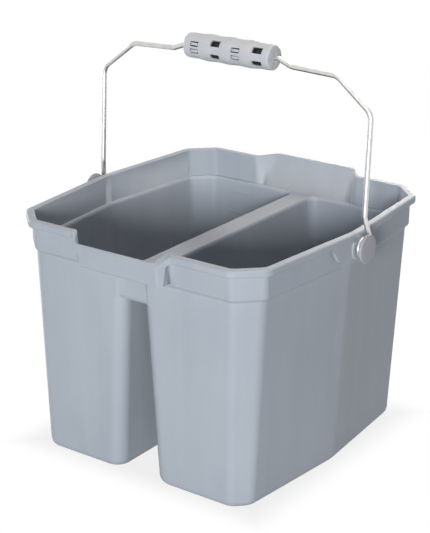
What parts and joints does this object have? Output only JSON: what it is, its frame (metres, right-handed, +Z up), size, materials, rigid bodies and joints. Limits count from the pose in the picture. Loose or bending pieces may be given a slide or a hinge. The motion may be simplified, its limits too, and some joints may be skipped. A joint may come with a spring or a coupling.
{
  "type": "divided utility pail",
  "caption": "Moulded divided pail: twin tapered tubs under one flanged rim with a pouring and a tipping lip, carried by a swinging wire bail with a turning hand grip.",
  "frame": {"origin": "on the floor, under the middle of the whole part's box", "axes": "+X across the two tubs to the viewer's right when facing the pouring lip, -Y towards the pouring lip, +Z up"},
  "size_m": [0.3528, 0.3516, 0.4248],
  "materials": {
    "pail_plastic": "fine satin moulding",
    "stud_plastic": "fine satin moulding",
    "grip_plastic": "satin moulding",
    "bail_steel": "bright zinc-plated wire"
  },
  "bodies": {
    "pail_body": {"pail": "pail_plastic", "left_pivot_stud": "stud_plastic", "right_pivot_stud": "stud_plastic"},
    "bail_body": {"bail_wire": "bail_steel"},
    "grip_body": {"hand_grip": "grip_plastic"}
  },
  "joints": [
    {"name": "bail_swing", "type": "hinge", "parent": "pail_body", "child": "bail_body", "pos_m": [0, -0.00375, 0.24], "axis": [1, 0, 0], "range_deg": [-74.5, 87]},
    {"name": "grip_turn", "type": "hinge", "parent": "bail_body", "child": "grip_body", "pos_m": [0, 0.01181, 0.41085], "axis": [1, 0, 0], "continuous": true}
  ]
}
